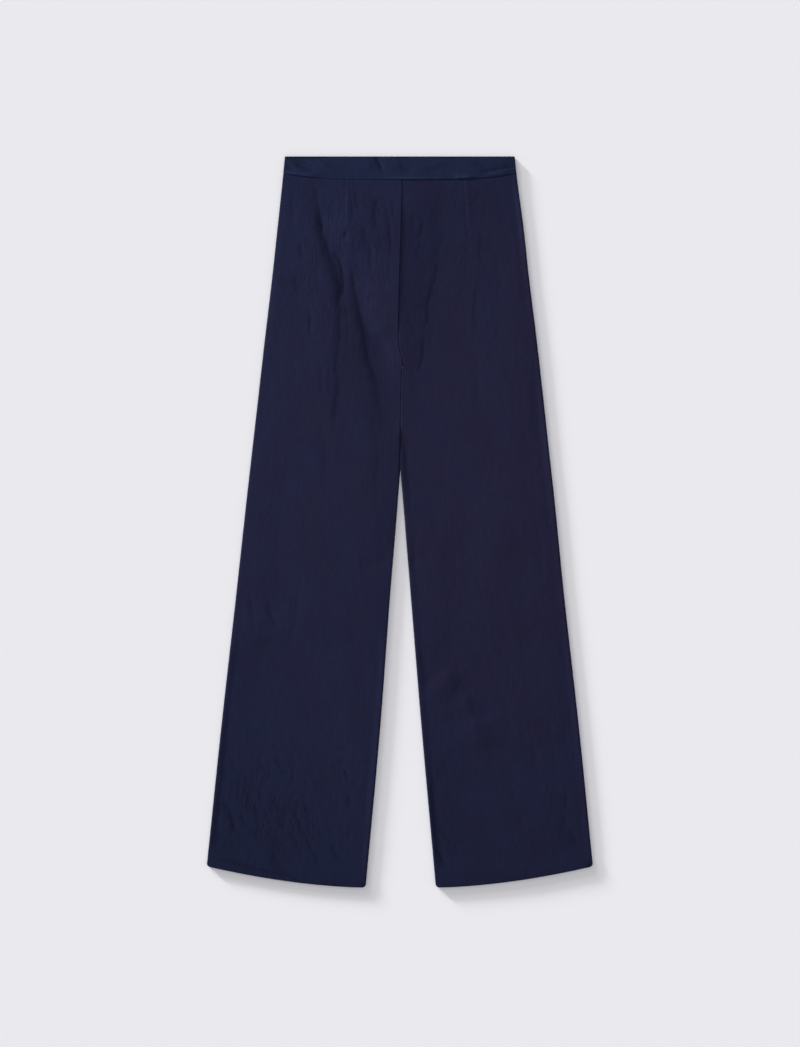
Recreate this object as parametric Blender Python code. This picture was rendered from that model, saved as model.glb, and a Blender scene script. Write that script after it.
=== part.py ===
"""Palazzo pants laid flat on a surface, their back upwards.

Six pieces of cloth, each one a closed wall of its own:

    front_left_leg, front_right_leg, front_waistband    the under layer, flat on the surface
    back_left_leg, back_right_leg, back_waistband       the upper layer, lying on it

Metres. +X runs to the wearer's right, +Y to the waist and +Z up from the surface. The origin is
on the surface, under the middle of the garment. Places along the garment are given as a drop,
the distance down from the top edge of the waistband.
"""

import math
from collections import namedtuple

import bmesh
import bpy
from mathutils import Vector

# Driving dimensions of the garment as it lies.
LENGTH = 1.095  # top edge of the waistband to the lowest point of the hems
WAIST_WIDTH = 0.344  # across the top edge
BAND_HEIGHT = 0.0355  # waistband at the middle
BAND_RISE = 0.009  # how much less it measures at the sides
RISE = 0.307  # top edge to the crotch
HEM_RISE = 0.0315  # the outer corner of a hem above its inner corner
HEM_CURVE = 1.7  # how the hem line bends between them; 1 is straight
HEM_CORNER = 0.004  # radius of the corners of a hem
HEM_TURN = 0.014  # cloth turned up inside a hem
HEM_STEP = 0.0015  # length in which a wall doubles, where the turned-up cloth ends

# Cloth.
CLOTH = 0.001  # one wall
BAND_CLOTH = 0.0018  # the waistband, a folded and stiffened strip
SEAM_GAP = 0.0003  # between two pieces sewn or lying together

# Loft: how far the upper layer stands off the under layer.
EDGE_ROLL = 0.0045  # width of the rolled edge at a side seam
EDGE_LIFT = 0.0008  # what the roll rises
SLACK = 0.0023  # what the loose cloth between the edges rises past that
SLACK_REACH = 0.020  # distance from an edge in which it rises
SEAM_DIP = 0.0008  # depth of the seat seam's furrow
SEAM_REACH = 0.0035  # its half width
WAIST_LIFT = 0.0010  # where the waistband holds the cloth down
WAIST_REACH = 0.045  # how far below the waist seam it does
HEM_LIFT = 0.0020  # over the doubled hem of the layer below
HEM_REACH = 0.070  # from the hem, where the cloth starts to rise to that
HEM_FOLLOW = 0.25  # how much of the folds is left in the hem

# The waistband swells between its edges.
BAND_SWELL = 0.0008  # at its fullest
SWELL_REACH = 0.008  # from the top fold and the seam
SWELL_END_REACH = 0.020  # from the side seams

# Darts, sewn from the waistband down, each a furrow in the cloth's face.
DART_LENGTH = 0.083
DART_OVERRUN = 0.002  # how far the cutter starts above the cloth's edge, and stands over its face
DART_WIDTH = (0.0022, 0.0005)  # at the waistband and at the tip
DART_DEPTH = (0.0005, 0.0002)
DART_STATIONS = 8

# Grids of the two kinds of wall: cells across, and cells from waist to hem.
UPPER_CELLS = (38, 30)
UNDER_CELLS = (10, 14)
BAND_CELLS = (20, 5)
EDGE_PACKING = 0.6  # how much closer the columns stand at the edges; 0 is even

# The outline, one row for each level: X of the two side seams, X of the line between the legs,
# and how far each leg's inner edge stands from that line. The line is the seat seam above RISE.
Section = namedtuple("Section", "drop left_side middle parting right_side")
SECTIONS = (
    Section(0.000, -0.1720, 0.0040, 0.0000, 0.1720),
    Section(0.036, -0.1755, 0.0040, 0.0000, 0.1760),
    Section(0.110, -0.1835, 0.0020, 0.0000, 0.1860),
    Section(0.180, -0.1910, 0.0000, 0.0000, 0.1935),
    Section(0.260, -0.2005, -0.0020, 0.0000, 0.2035),
    Section(0.290, -0.2040, 0.0000, 0.0000, 0.2070),
    Section(0.306, -0.2058, 0.0045, 0.0000, 0.2090),
    Section(0.325, -0.2080, 0.0028, 0.0000, 0.2110),
    Section(0.365, -0.2125, 0.0018, 0.0000, 0.2155),
    Section(0.457, -0.2230, 0.0004, 0.0000, 0.2255),
    Section(0.515, -0.2296, 0.0011, 0.0037, 0.2320),
    Section(0.660, -0.2455, 0.0010, 0.0155, 0.2465),
    Section(0.860, -0.2680, 0.0017, 0.0312, 0.2690),
    Section(1.095, -0.2925, 0.0015, 0.0525, 0.2925),
)

# The largest folds, each along a curve through its start, middle and end. A height under zero
# is a trough, and over zero a ridge. Left and right are its reach to each side of the curve.
Fold = namedtuple("Fold", "x0 drop0 x1 drop1 x2 drop2 left right height")
LEFT_FOLDS = (
    Fold(-0.131, 0.040, -0.119, 0.112, -0.092, 0.182, 0.007, 0.014, -0.0026),
    Fold(-0.096, 0.150, -0.090, 0.240, -0.096, 0.430, 0.007, 0.014, -0.0023),
    Fold(-0.074, 0.150, -0.057, 0.285, -0.009, 0.440, 0.009, 0.017, -0.0025),
    Fold(-0.152, 0.050, -0.142, 0.180, -0.138, 0.380, 0.018, 0.020, 0.0007),
    Fold(-0.042, 0.110, -0.030, 0.240, -0.010, 0.400, 0.016, 0.014, 0.0007),
    Fold(-0.130, 0.460, -0.150, 0.680, -0.180, 0.880, 0.026, 0.032, -0.0013),
    Fold(-0.192, 0.720, -0.186, 0.860, -0.166, 0.980, 0.008, 0.012, -0.0012),
    Fold(-0.262, 0.940, -0.244, 1.000, -0.222, 1.050, 0.022, 0.026, -0.0020),
    Fold(-0.160, 0.960, -0.146, 1.020, -0.128, 1.070, 0.009, 0.013, -0.0016),
)
RIGHT_FOLDS = (
    Fold(0.070, 0.080, 0.046, 0.215, 0.019, 0.430, 0.011, 0.008, -0.0024),
    Fold(0.098, 0.090, 0.083, 0.260, 0.070, 0.460, 0.018, 0.018, 0.0007),
    Fold(0.119, 0.055, 0.118, 0.170, 0.113, 0.360, 0.007, 0.007, -0.0016),
    Fold(0.150, 0.060, 0.152, 0.180, 0.160, 0.360, 0.018, 0.018, 0.0007),
    Fold(0.150, 0.470, 0.160, 0.680, 0.172, 0.900, 0.030, 0.026, -0.0012),
    Fold(0.027, 0.720, 0.078, 0.790, 0.122, 0.852, 0.014, 0.018, -0.0021),
    Fold(0.046, 0.930, 0.066, 1.015, 0.104, 1.064, 0.010, 0.018, -0.0020),
)
FOLD_SAMPLES = 24

# Darts: X where each starts at the waistband and where it runs out.
LEFT_DART = (-0.0817, -0.0817)
RIGHT_DART = (0.0965, 0.1020)

NAVY = (0.0160, 0.0178, 0.0430, 1.0)
BAND_NAVY = (0.0137, 0.0194, 0.0482, 1.0)


# ---- The outline ---------------------------------------------------------------------------


def smooth_step(low, high, value):
    """0 at low and before it, 1 at high and past it, and an even S between."""
    t = min(max((value - low) / (high - low), 0.0), 1.0)
    return t * t * (3 - 2 * t)


def at_drop(column, drop):
    """A column of SECTIONS at any drop, on a smooth curve through its rows."""
    drops = [row.drop for row in SECTIONS]
    values = [getattr(row, column) for row in SECTIONS]
    last = len(drops) - 1
    i = max(k for k in range(last) if drops[k] <= max(drop, 0.0))
    span = drops[i + 1] - drops[i]

    def slope(k):
        before, after = max(k - 1, 0), min(k + 1, last)
        return (values[after] - values[before]) / (drops[after] - drops[before])

    t = (drop - drops[i]) / span
    return (
        (2 * t**3 - 3 * t**2 + 1) * values[i]
        + (t**3 - 2 * t**2 + t) * span * slope(i)
        + (3 * t**2 - 2 * t**3) * values[i + 1]
        + (t**3 - t**2) * span * slope(i + 1)
    )


def waist_seam(x):
    """Drop of the seam that joins waistband and legs, which curves up to the sides."""
    return BAND_HEIGHT - BAND_RISE * (abs(x) / (WAIST_WIDTH / 2)) ** 4


def corner_cut(distance):
    """How much a rounded corner takes off the hem, this far from the leg's edge."""
    if distance >= HEM_CORNER:
        return 0.0
    return HEM_CORNER - math.sqrt(HEM_CORNER**2 - (HEM_CORNER - distance) ** 2)


def leg_edges(side, drop):
    """X of a leg's inner edge and of its side seam."""
    sign = 1 if side == "right" else -1
    inner = at_drop("middle", drop) + sign * (max(at_drop("parting", drop), 0) + SEAM_GAP / 2)
    return inner, at_drop(f"{side}_side", drop)


def band_edges(drop):
    """X of the waistband's two ends."""
    return at_drop("left_side", drop), at_drop("right_side", drop)


def meets_waist_seam(edges, across):
    """(x, drop) where a line at this share between two edges meets the waist seam."""
    x, drop = 0.0, BAND_HEIGHT
    for _ in range(6):
        first, second = edges(drop)
        x = first + (second - first) * across
        drop = waist_seam(x)
    return x, drop


def hem_line(across):
    """Drop of a hem, at a share of the way from the leg's inner edge to its side seam."""
    return LENGTH - HEM_RISE * across**HEM_CURVE


def leg_plan(side, across, down):
    """(x, drop) on a leg: across from its inner edge to its side seam, down from waist to hem."""
    top = meets_waist_seam(lambda drop: leg_edges(side, drop), across)[1] + SEAM_GAP / 2
    inner, outer = leg_edges(side, LENGTH)
    from_corner = min(across, 1 - across) * abs(outer - inner)
    bottom = hem_line(across) - corner_cut(from_corner)
    drop = top + (bottom - top) * down
    inner, outer = leg_edges(side, drop)
    return inner + (outer - inner) * across, drop


# ---- The relief of the upper layer ---------------------------------------------------------


def fold_height(fold, x, drop):
    """What one fold adds to the cloth's height at a point."""
    nearest, share, side = math.inf, 0.0, 1.0
    for k in range(FOLD_SAMPLES + 1):
        t = k / FOLD_SAMPLES
        bow = 4 * t * (1 - t)
        curve_x = fold.x0 + (fold.x2 - fold.x0) * t + bow * (fold.x1 - (fold.x0 + fold.x2) / 2)
        curve_d = fold.drop0 + (fold.drop2 - fold.drop0) * t
        curve_d += bow * (fold.drop1 - (fold.drop0 + fold.drop2) / 2)
        away = math.hypot(x - curve_x, drop - curve_d)
        if away < nearest:
            nearest, share, side = away, t, x - curve_x
    reach = fold.left if side < 0 else fold.right
    fade = math.sin(math.pi * min(max(share, 0.0), 1.0)) ** 0.6
    return fold.height * fade * math.exp(-((nearest / reach) ** 2))


def edge_rise(distance):
    """Height of the rolled edge and the slack cloth behind it, this far from an edge."""
    near = min(distance / EDGE_ROLL, 1.0)
    roll = EDGE_LIFT * math.sqrt(1 - (1 - near) ** 2)
    return roll + SLACK * (1 - math.exp(-distance / SLACK_REACH))


def upper_lift(side, x, drop):
    """How far the upper layer stands above the level where it would touch the under one."""
    inner, outer = leg_edges(side, drop)
    from_inner, from_side = abs(x - inner), abs(outer - x)
    full = EDGE_LIFT + SLACK
    furrow = SEAM_DIP * math.exp(-((from_inner / SEAM_REACH) ** 2))
    parted = smooth_step(RISE - 0.02, RISE + 0.05, drop)
    at_middle = (1 - parted) * (full - furrow) + parted * edge_rise(from_inner)
    lift = at_middle * edge_rise(from_side) / full

    folds = LEFT_FOLDS if side == "left" else RIGHT_FOLDS
    inside = smooth_step(0.0, SLACK_REACH, min(from_side, from_inner + (1 - parted) * SLACK_REACH))
    lift = max(lift + inside * sum(fold_height(fold, x, drop) for fold in folds), 0.0)

    held = smooth_step(WAIST_REACH, 0.0, drop - waist_seam(x))
    lift += held * (WAIST_LIFT - lift)
    pressed = smooth_step(HEM_REACH, HEM_TURN, hem_line(from_inner / abs(outer - inner)) - drop)
    return lift + pressed * (HEM_LIFT + HEM_FOLLOW * lift - lift)


# ---- Building walls ------------------------------------------------------------------------


def cloth_material(name, colour, roughness):
    material = bpy.data.materials.new(name)
    material.use_nodes = True
    surface = material.node_tree.nodes["Principled BSDF"]
    surface.inputs["Base Color"].default_value = colour
    surface.inputs["Roughness"].default_value = roughness
    surface.inputs["Metallic"].default_value = 0.0
    return material


def packed(cells):
    """Shares from 0 to 1, closer together at both ends."""
    even = [k / cells for k in range(cells + 1)]
    return [t - EDGE_PACKING * math.sin(2 * math.pi * t) / (2 * math.pi) for t in even]


def rows_to_hem(cells):
    """Shares from waist to hem: even ones down to the turned-up hem, then the hem's own."""
    turn = 1 - HEM_TURN / LENGTH
    middle = 1 - HEM_TURN / LENGTH / 2
    return [turn * k / cells for k in range(cells + 1)] + [turn + HEM_STEP / LENGTH, middle, 1.0]


def wall(name, shares_across, shares_down, outer_point, thickness, material, parent):
    """A closed wall: a flat grid extruded into two layers, each then put in its place.

    outer_point gives a point of the outer face at a share across and a share down, and thickness
    how far under it the inner face lies.
    """
    across_cells, down_cells = len(shares_across) - 1, len(shares_down) - 1
    shape = bmesh.new()
    bmesh.ops.create_grid(shape, x_segments=across_cells, y_segments=down_cells, size=0.5)
    extruded = bmesh.ops.extrude_face_region(shape, geom=shape.faces[:])
    inner = {item for item in extruded["geom"] if isinstance(item, bmesh.types.BMVert)}
    for vert in shape.verts:
        across = shares_across[round((vert.co.x + 0.5) * across_cells)]
        down = shares_down[round((vert.co.y + 0.5) * down_cells)]
        vert.co = outer_point(across, down)
        if vert in inner:
            vert.co.z -= thickness(down)
    bmesh.ops.recalc_face_normals(shape, faces=shape.faces[:])

    mesh = bpy.data.meshes.new(name)
    shape.to_mesh(mesh)
    shape.free()
    mesh.shade_smooth()
    mesh.set_sharp_from_angle(angle=math.radians(50))
    mesh.materials.append(material)
    return add_object(name, mesh, parent)


def add_object(name, data, parent=None):
    added = bpy.data.objects.new(name, data)
    bpy.context.scene.collection.objects.link(added)
    added.parent = parent
    return added


def leg_thickness(down):
    """One wall of cloth, and two where the hem is turned up."""
    turned = down > 1 - (HEM_TURN - HEM_STEP / 2) / LENGTH
    return 2 * CLOTH if turned else CLOTH


def upper_leg(side, material, parent):
    """A back leg piece, lying on the front one with its loft and folds."""

    def outer_point(across, down):
        x, drop = leg_plan(side, across, down)
        return Vector((x, -drop, CLOTH + upper_lift(side, x, drop)))

    leg = wall(
        f"back_{side}_leg",
        packed(UPPER_CELLS[0]),
        rows_to_hem(UPPER_CELLS[1]),
        outer_point,
        leg_thickness,
        material,
        parent,
    )
    leg.location.z = CLOTH + SEAM_GAP
    return leg


def under_leg(side, material, parent):
    """A front leg piece, flat on the surface. Its turned-up hem is on the upper face."""

    def outer_point(across, down):
        x, drop = leg_plan(side, across, down)
        return Vector((x, -drop, leg_thickness(down)))

    return wall(
        f"front_{side}_leg",
        packed(UNDER_CELLS[0]),
        rows_to_hem(UNDER_CELLS[1]),
        outer_point,
        leg_thickness,
        material,
        parent,
    )


def waistband(name, fullness, material, parent):
    """Half of the waistband, whose face swells between its edges by the fullness given."""

    def outer_point(across, down):
        left, right = band_edges(0)
        top = Vector((left + (right - left) * across, 0.0))
        bottom = Vector(meets_waist_seam(band_edges, across))
        bottom.y -= SEAM_GAP / 2
        x, drop = top.lerp(bottom, down)
        from_end = min(across, 1 - across) * WAIST_WIDTH
        from_fold = min(down, 1 - down) * BAND_HEIGHT
        swell = math.sqrt(min(from_fold / SWELL_REACH, 1)) * min(from_end / SWELL_END_REACH, 1)
        return Vector((x, -drop, BAND_CLOTH + fullness * swell))

    return wall(
        name,
        packed(BAND_CELLS[0]),
        packed(BAND_CELLS[1]),
        outer_point,
        lambda down: BAND_CLOTH,
        material,
        parent,
    )


def sew_dart(leg, side, x_top, x_end):
    """Cuts a dart's furrow into the face of a back leg, narrowing towards its tip."""
    cutter = bmesh.new()
    rows = []
    for k in range(DART_STATIONS + 1):
        t = k / DART_STATIONS
        x = x_top + (x_end - x_top) * t
        drop = waist_seam(x_top) - DART_OVERRUN + DART_LENGTH * t
        width = DART_WIDTH[0] + (DART_WIDTH[1] - DART_WIDTH[0]) * t
        depth = DART_DEPTH[0] + (DART_DEPTH[1] - DART_DEPTH[0]) * t
        face = CLOTH + upper_lift(side, x, drop)
        half = width / 2 * (1 + DART_OVERRUN / depth)
        corners = ((0, -depth), (half, DART_OVERRUN), (-half, DART_OVERRUN))
        rows.append([cutter.verts.new((x + aside, -drop, face + up)) for aside, up in corners])
    for before, after in zip(rows, rows[1:]):
        for k in range(3):
            following = (k + 1) % 3
            cutter.faces.new((before[k], before[following], after[following], after[k]))
    cutter.faces.new(rows[0])
    cutter.faces.new(rows[-1])
    bmesh.ops.recalc_face_normals(cutter, faces=cutter.faces[:])

    mesh = bpy.data.meshes.new(f"{side}_dart_cutter")
    cutter.to_mesh(mesh)
    cutter.free()
    tool = add_object(f"{side}_dart_cutter", mesh, leg)
    tool.hide_render = True
    tool.display_type = "WIRE"
    furrow = leg.modifiers.new("dart", "BOOLEAN")
    furrow.operation = "DIFFERENCE"
    furrow.solver = "EXACT"
    furrow.object = tool


def main():
    for old in list(bpy.data.objects):
        bpy.data.objects.remove(old)
    cloth = cloth_material("crinkle_viscose", NAVY, 0.55)
    band = cloth_material("band_viscose", BAND_NAVY, 0.5)

    waist = add_object("waist_centre", None)
    waist.location.y = LENGTH / 2

    for side, dart in (("left", LEFT_DART), ("right", RIGHT_DART)):
        under_leg(side, cloth, waist)
        back_leg = upper_leg(side, cloth, waist)
        sew_dart(back_leg, side, *dart)
    waistband("front_waistband", 0.0, band, waist)
    back_band = waistband("back_waistband", BAND_SWELL, band, waist)
    back_band.location.z = BAND_CLOTH + SEAM_GAP


main()
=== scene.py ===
# %% [markdown]
# # Palazzo pants, laid flat
#
# A pair of high-waisted, wide-leg pants lies on a pale surface with its back upwards. The real
# ones are cut from one light navy cloth: two back pieces with a dart each, two front pieces, and
# a shaped waistband. The solids in the frame already have that build and its sizes. This script
# dresses each of them in a thin cloth shell with its seams, hems and creases, and lights it.
#
# Lengths are in millimetres until a mesh is placed. Across is X. Along the garment they are a
# drop, the distance down from the waistband's top edge, as a cutter measures a pattern.

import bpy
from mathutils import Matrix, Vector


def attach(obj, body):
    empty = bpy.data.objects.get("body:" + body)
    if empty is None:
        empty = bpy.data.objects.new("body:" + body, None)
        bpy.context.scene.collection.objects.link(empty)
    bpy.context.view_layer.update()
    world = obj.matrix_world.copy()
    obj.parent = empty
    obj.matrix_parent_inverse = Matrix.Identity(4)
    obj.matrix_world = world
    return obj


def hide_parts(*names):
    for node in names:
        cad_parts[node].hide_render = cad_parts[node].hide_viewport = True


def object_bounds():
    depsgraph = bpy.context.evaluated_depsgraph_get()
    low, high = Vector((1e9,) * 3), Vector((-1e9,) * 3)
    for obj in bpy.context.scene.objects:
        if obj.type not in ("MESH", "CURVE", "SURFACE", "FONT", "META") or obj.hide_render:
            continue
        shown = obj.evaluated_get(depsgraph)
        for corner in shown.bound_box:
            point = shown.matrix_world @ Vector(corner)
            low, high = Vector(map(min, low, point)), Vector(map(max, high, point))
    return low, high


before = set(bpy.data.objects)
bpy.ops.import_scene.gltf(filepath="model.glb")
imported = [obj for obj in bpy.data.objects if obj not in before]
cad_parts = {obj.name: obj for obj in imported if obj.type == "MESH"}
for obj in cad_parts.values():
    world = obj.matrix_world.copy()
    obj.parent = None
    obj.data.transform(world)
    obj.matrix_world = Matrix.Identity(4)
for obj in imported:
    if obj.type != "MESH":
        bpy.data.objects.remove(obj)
cad_box = [list(corner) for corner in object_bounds()]
print("nodes:", sorted(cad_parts))

# %% Imports and units
import math
from collections import namedtuple
from functools import partial

import bmesh
import bpy
import numpy as np
from mathutils import Vector, noise

MM = 0.001
LENGTH = 1095.0
TOP_EDGE = cad_box[1][1] / MM
print(f"waist to hem {LENGTH:.0f} mm, solids {(cad_box[1][1] - cad_box[0][1]) / MM:.1f} mm")

# %% [markdown]
# ## The outline
#
# A pattern is drawn from a few measures at a few levels, joined with smooth curves. The same
# rows made the solids, so the shells fit them. The line between the legs is the seat seam above
# the crotch. Below it the two inner edges part.

# %% The outline
Section = namedtuple("Section", "drop left_side middle parting right_side")
SECTIONS = (
    Section(0, -172.0, 4.0, 0.0, 172.0),
    Section(36, -175.5, 4.0, 0.0, 176.0),
    Section(110, -183.5, 2.0, 0.0, 186.0),
    Section(180, -191.0, 0.0, 0.0, 193.5),
    Section(260, -200.5, -2.0, 0.0, 203.5),
    Section(290, -204.0, 0.0, 0.0, 207.0),
    Section(306, -205.8, 4.5, 0.0, 209.0),
    Section(325, -208.0, 2.8, 0.0, 211.0),
    Section(365, -212.5, 1.8, 0.0, 215.5),
    Section(457, -223.0, 0.4, 0.0, 225.5),
    Section(515, -229.6, 1.1, 3.7, 232.0),
    Section(660, -245.5, 1.0, 15.5, 246.5),
    Section(860, -268.0, 1.7, 31.2, 269.0),
    Section(1095, -292.5, 1.5, 52.5, 292.5),
)
BAND_HEIGHT = 35.5
BAND_RISE = 9.0
HALF_WAIST = 172.0
CROTCH = 307.0
HEM_RISE = 31.5
HEM_CURVE = 1.7
HEM_CORNER = 4.0
SEAM_GAP = 0.3


def smooth_step(low, high, value):
    """0 at low and before it, 1 at high and past it, and an even S between."""
    t = np.clip((value - low) / (high - low), 0, 1)
    return t * t * (3 - 2 * t)


def bell(away, width):
    """1 where nothing is away, and less the further away, over about this width."""
    return np.exp(-((away / width) ** 2))


def at_drop(column, drop):
    """A column of SECTIONS at these drops, on a smooth curve through its rows."""
    levels = np.array([row.drop for row in SECTIONS], float)
    values = np.array([getattr(row, column) for row in SECTIONS], float)
    before = np.maximum(np.arange(len(levels)) - 1, 0)
    after = np.minimum(np.arange(len(levels)) + 1, len(levels) - 1)
    slopes = (values[after] - values[before]) / (levels[after] - levels[before])
    i = np.clip(np.searchsorted(levels, drop, side="right") - 1, 0, len(levels) - 2)
    span = levels[i + 1] - levels[i]
    t = (drop - levels[i]) / span
    ends = (2 * t**3 - 3 * t**2 + 1) * values[i] + (3 * t**2 - 2 * t**3) * values[i + 1]
    turns = (t**3 - 2 * t**2 + t) * slopes[i] + (t**3 - t**2) * slopes[i + 1]
    return ends + turns * span


def leg_edges(side, drop):
    """X of a leg's inner edge and of its side seam at these drops."""
    sign = 1 if side == "right" else -1
    parting = np.maximum(at_drop("parting", drop), 0) + SEAM_GAP / 2
    return at_drop("middle", drop) + sign * parting, at_drop(f"{side}_side", drop)


def band_edges(drop):
    """X of the waistband's two ends at these drops."""
    return at_drop("left_side", drop), at_drop("right_side", drop)


def waist_seam(x):
    """Drop of the seam under the waistband, which curves up to the sides."""
    return BAND_HEIGHT - BAND_RISE * (np.abs(x) / HALF_WAIST) ** 4


def hem_line(across):
    """Drop of a hem, at a share of the way from the inner edge to the side seam."""
    return LENGTH - HEM_RISE * across**HEM_CURVE


hem_widths = [abs(np.subtract(*leg_edges(side, LENGTH))) for side in ("left", "right")]
print("hems", [f"{width:.0f} mm" for width in hem_widths])

# %% [markdown]
# ## Creases
#
# Cloth that has been worn and laid down keeps soft pulls from the hips to the crotch, pressed
# lines where it was folded, and a litter of short creases near the hems. A cloth simulation would
# invent its own, so they are listed one by one. A short crease is a curve through three points. A
# long or wide pull is a smoothed line through as many as it needs, so that it can wander and
# widen. Each has its reach to the left and right of the line and its height, which is negative
# in a trough. For a pull, a reach is given at its start and at its end.

# %% Pulls of the two back pieces
Pull = namedtuple("Pull", "points left right height")
SEAT_RIDGE = Pull(((3, -20), (3, 120), (1, 210), (4, 300), (3, 350)), (64, 26), (60, 34), 2.0)
HIP_PULL = ((-130, 76), (-119, 104), (-111, 128), (-103, 150), (-96, 168), (-91, 190), (-90, 232))
HIP_LINE = ((-91, 180), (-89, 246), (-92, 284), (-95, 318), (-92, 350), (-97, 388), (-99, 424))
HIP_RIDGE = (
    ((-136, 60), (-126, 110), (-114, 160), (-104, 200))
    + ((-100, 260), (-103, 330), (-106, 400), (-108, 480))
)
SEAT_PULL = (
    ((-72, 150), (-68, 184), (-64, 214), (-57, 242), (-48, 268), (-39, 292))
    + ((-32, 318), (-26, 340), (-20, 366), (-13, 396), (-8, 424))
)
PANEL_EDGE = (
    ((96, -150), (88, 36), (79, 90), (71, 140), (60, 190))
    + ((50, 240), (45, 300), (52, 380), (60, 470), (68, 560))
)
LEG_HOLLOW = (
    ((52, 380), (60, 470), (68, 560), (76, 660))
    + ((84, 760), (96, 880), (108, 1000), (118, 1110))
)
SEAT_FALL = ((-43, 262), (-33, 290), (-25, 320), (-18, 352), (-11, 392), (-6, 430))
SEAT_STRAND = ((-64, 226), (-58, 250), (-53, 276), (-48, 302), (-40, 328), (-34, 354))
LOW_HOLLOW = ((-196, 690), (-188, 790), (-181, 900), (-172, 1010), (-146, 1200))
LEFT_PULLS = (
    # The deep pull from the side of the waist: faint at first, then in two strands that join.
    Pull(((-130, 40), (-124, 66), (-120, 92), (-115, 118)), (6, 6), (18, 20), -1.2),
    Pull(HIP_PULL, (7, 6), (28, 24), -2.1),
    Pull(((-98, 142), (-93, 153), (-88, 166), (-86, 188), (-88, 214)), (2.2, 3), (8, 9), -1.1),
    Pull(HIP_LINE, (5, 4), (24, 20), -0.75),
    # The pull beside the seat seam, which widens towards the crotch.
    Pull(SEAT_PULL, (5, 20), (34, 34), -2.8),
    Pull(SEAT_FALL, (18, 26), (34, 44), -1.9),
    Pull(SEAT_STRAND, (2.5, 3), (6, 7), -0.5),
    # The cloth that the hip line falls away from.
    Pull(HIP_RIDGE, (50, 50), (30, 30), 1.3),
    # The slope from the dart, and the ridges beside the seat seam.
    Pull(((-80, 34), (-78, 90), (-72, 150)), (50, 36), (52, 44), 2.2),
    Pull(((-38, 150), (-34, 190), (-30, 230), (-26, 270)), (18, 18), (24, 16), 0.5),
    SEAT_RIDGE,
    # Below the crotch the cloth falls away to the inner edge.
    Pull(((-56, 372), (-50, 412), (-46, 450), (-42, 510), (-40, 600)), (60, 60), (30, 24), 1.1),
    # The shallow hollow of the lower leg.
    Pull(LOW_HOLLOW, (54, 90), (110, 110), -4.2),
)
RIGHT_PULLS = (
    # A sunken panel slopes from the seat seam, and the leg has a hollow below it.
    SEAT_RIDGE,
    Pull(PANEL_EDGE, (52, 56), (160, 160), -3.6),
    Pull(LEG_HOLLOW, (56, 56), (150, 150), -1.6),
    Pull(((80, 700), (90, 820), (98, 920), (104, 1010), (112, 1130)), (54, 50), (130, 120), -1.6),
    # The bundle of thin, broken lines along the panel's edge.
    Pull(((65, 108), (62, 124), (57, 142), (56, 158)), (2.2, 2.5), (5, 5), -0.5),
    Pull(((58, 156), (53, 172), (54, 186), (49, 200), (50, 216)), (2.2, 2.5), (4, 5), -0.45),
    Pull(((47, 196), (43, 212), (40, 228), (41, 244), (37, 258)), (2.2, 2.5), (5, 5), -0.5),
    Pull(((38, 266), (35, 280), (36, 294), (31, 312), (30, 330)), (2.2, 2.5), (5, 5), -0.45),
    Pull(((30, 334), (27, 350), (25, 364), (20, 380)), (3, 4), (6, 7), -0.3),
    # The thin line that runs down beside the dart.
    Pull(((118, 46), (116, 54), (110, 66), (106, 76)), (2.5, 2.5), (5, 5), -0.5),
    Pull(((119, 110), (120, 130), (119, 154), (117, 170)), (2.2, 2.5), (5, 5), -0.45),
    Pull(((116, 180), (114, 204), (111, 226), (112, 246), (114, 272)), (2.2, 2.5), (5, 5), -0.35),
    # The ridge that crosses the calf, and the dent beside it.
    Pull(((58, 766), (84, 792), (102, 820), (112, 852), (114, 896)), (40, 38), (26, 34), 2.8),
    Pull(((86, 784), (106, 804), (119, 825), (125, 850)), (17, 32), (18, 22), -1.9),
)

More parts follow.
